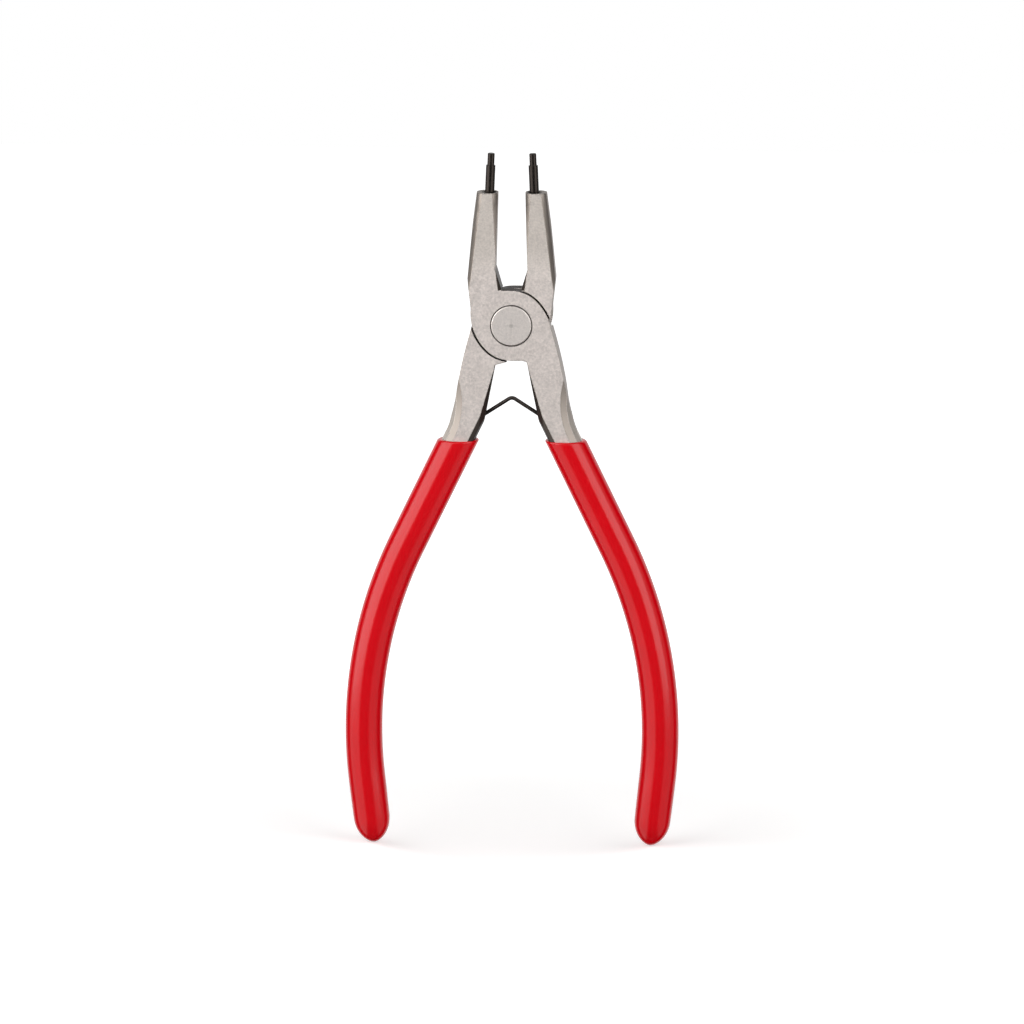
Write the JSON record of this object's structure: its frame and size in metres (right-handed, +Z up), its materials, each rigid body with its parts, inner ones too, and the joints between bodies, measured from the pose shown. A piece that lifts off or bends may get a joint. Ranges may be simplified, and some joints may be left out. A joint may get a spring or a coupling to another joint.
{
  "type": "internal circlip pliers",
  "caption": "Straight internal circlip pliers with lapped steel levers on a rivet, black round tips, a wire opening spring and red dipped grips.",
  "frame": {"origin": "on the floor under the pliers, midway between the grip ends and midway through the thickness", "axes": "+Z up along the tool to the tips, +X to the right seen from the front, front face towards -Y"},
  "size_m": [0.0856, 0.0096, 0.18],
  "materials": {
    "satin_steel": "satin, finely ground",
    "rivet_steel": "satin, finely ground",
    "black_oxide_steel": "black oxide, half gloss",
    "spring_wire": "dark drawn wire",
    "red_vinyl": "glossy dipped vinyl"
  },
  "bodies": {
    "rear": {"rear_lever": "satin_steel", "pivot_rivet": "rivet_steel", "right_tip": "black_oxide_steel", "left_grip": "red_vinyl", "opening_spring": "spring_wire"},
    "front": {"front_lever": "satin_steel", "left_tip": "black_oxide_steel", "right_grip": "red_vinyl"}
  },
  "joints": [
    {"name": "lever_pivot", "type": "hinge", "parent": "rear", "child": "front", "pos_m": [0, 0, 0.13608], "axis": [0, 1, 0], "range_deg": [0, 10.8], "stiffness_Nm_per_rad": 1, "springref_deg": -8.59, "deforming": ["opening_spring"]}
  ]
}
